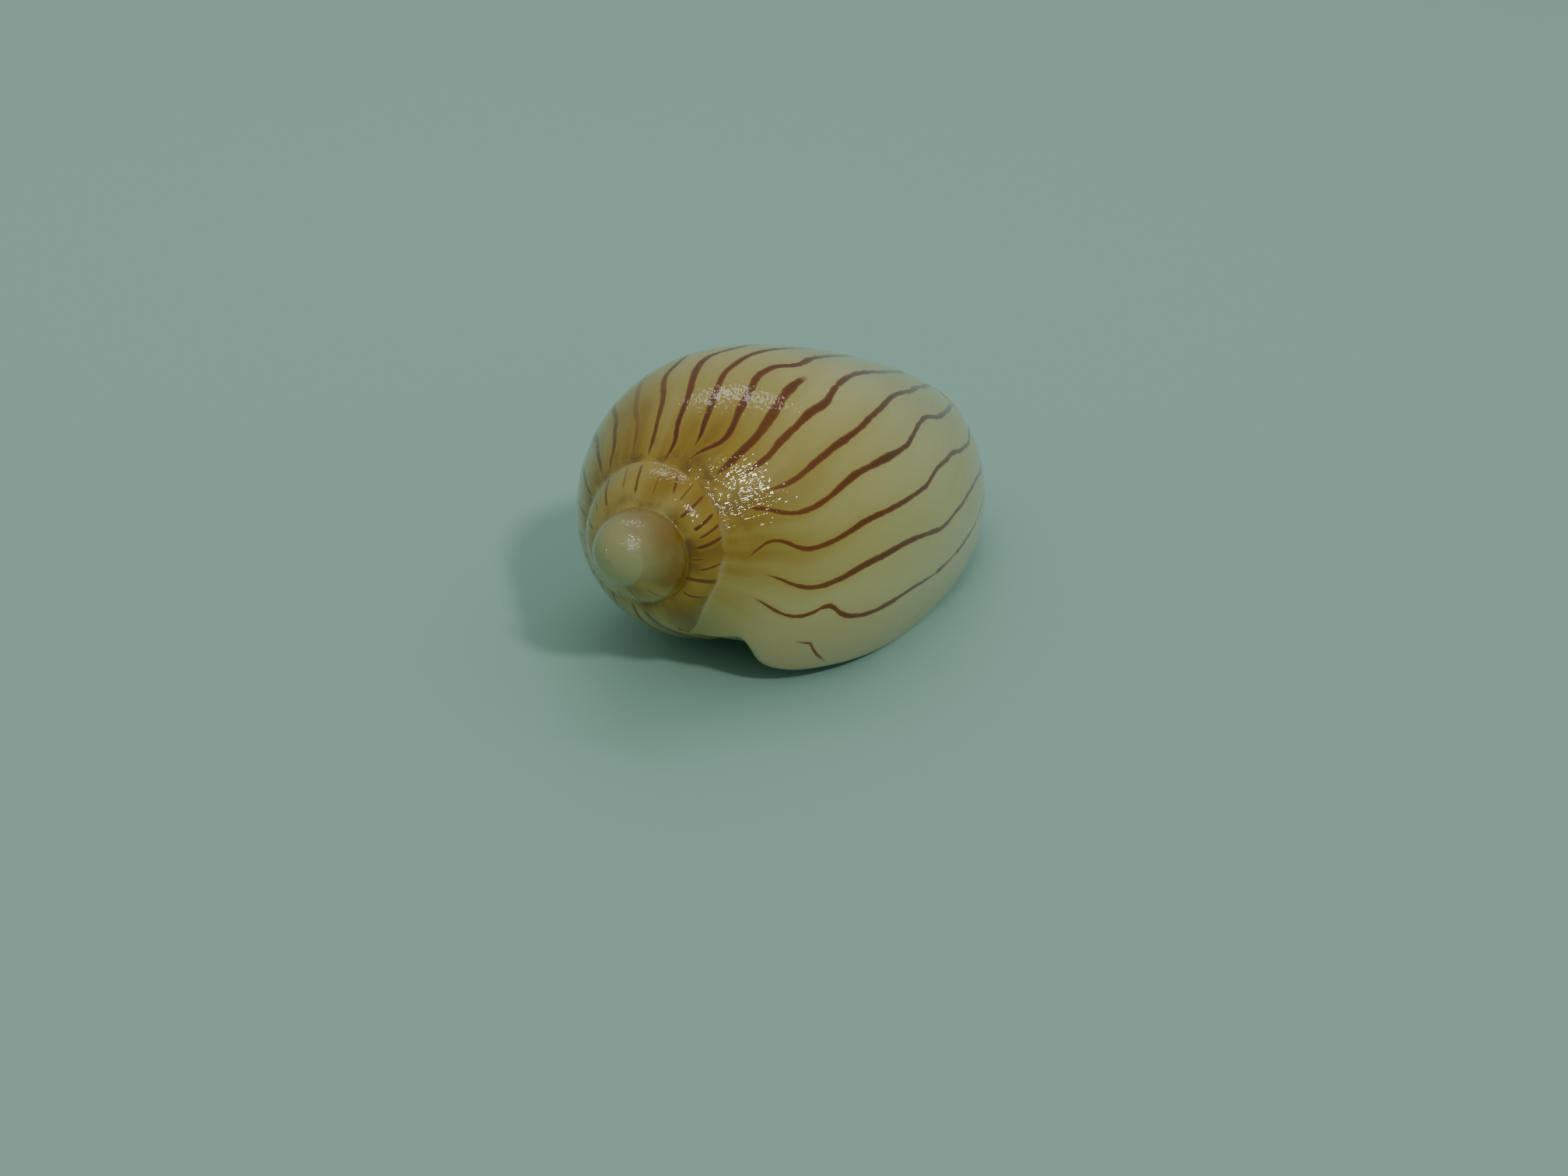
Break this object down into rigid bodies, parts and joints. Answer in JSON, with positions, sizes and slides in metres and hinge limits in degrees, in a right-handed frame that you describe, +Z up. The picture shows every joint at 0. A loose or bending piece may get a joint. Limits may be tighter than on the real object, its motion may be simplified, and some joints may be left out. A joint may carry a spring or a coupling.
{
  "type": "volute shell",
  "caption": "Glossy spindle-shaped sea snail shell with wavy brown stripes on cream, lying on its long open mouth.",
  "frame": {"origin": "centre of the bounding box's bottom face: the shell lies on its mouth and z = 0 is the surface under it", "axes": "+X along the shell towards its apex, +Y towards the outer lip, +Z up from the mouth to the back of the body whorl"},
  "size_m": [0.0396, 0.02, 0.0173],
  "materials": {
    "polished_shell": "naturally polished cream shell with reddish-brown stripes, amber towards the suture"
  },
  "bodies": {
    "root": {"shell": "polished_shell"}
  },
  "joints": []
}
